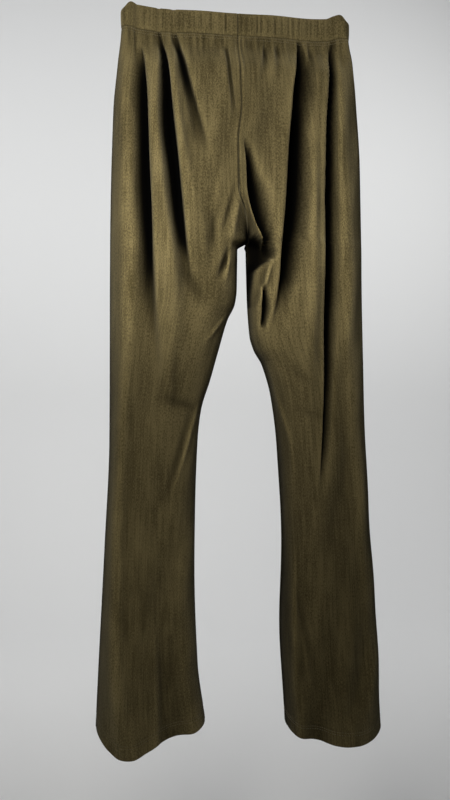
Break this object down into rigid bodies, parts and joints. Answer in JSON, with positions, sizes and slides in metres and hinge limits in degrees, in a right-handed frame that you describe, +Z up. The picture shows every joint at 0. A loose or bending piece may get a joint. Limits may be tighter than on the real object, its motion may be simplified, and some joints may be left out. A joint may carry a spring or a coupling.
{
  "type": "pull-on flared trousers",
  "caption": "Long pull-on trousers with an elastic waistband, straight through the thigh and flaring to the hem, hanging as from two hanger clips.",
  "frame": {"origin": "the middle of the waistband's top edge, where a hanger holds the trousers", "axes": "+Z up, along the hanging length; -Y out of the front; +X towards the wearer's left"},
  "size_m": [0.406, 0.1366, 1.0301],
  "materials": {
    "cloth": "olive brown brushed velour with a fine lengthwise rib",
    "overlock": "matching overlocked seam edge",
    "thread": "matching polyester thread",
    "elastic": "woven elastic, undyed",
    "label": "blank satin label"
  },
  "bodies": {
    "root": {"front_left_panel": "cloth", "front_right_panel": "cloth", "back_left_panel": "cloth", "back_right_panel": "cloth", "waistband_left": "cloth", "left_hem": "cloth", "waistband_right": "cloth", "right_hem": "cloth", "waist_elastic": "elastic", "waist_seam": "overlock", "left_side_seam": "overlock", "left_inseam": "overlock", "right_side_seam": "overlock", "right_inseam": "overlock", "front_rise_seam": "overlock", "back_rise_seam": "overlock", "waist_stitching_upper": "thread", "left_hem_stitching_upper": "thread", "right_hem_stitching_upper": "thread", "waist_stitching_lower": "thread", "left_hem_stitching_lower": "thread", "right_hem_stitching_lower": "thread", "care_label": "label"}
  },
  "joints": []
}
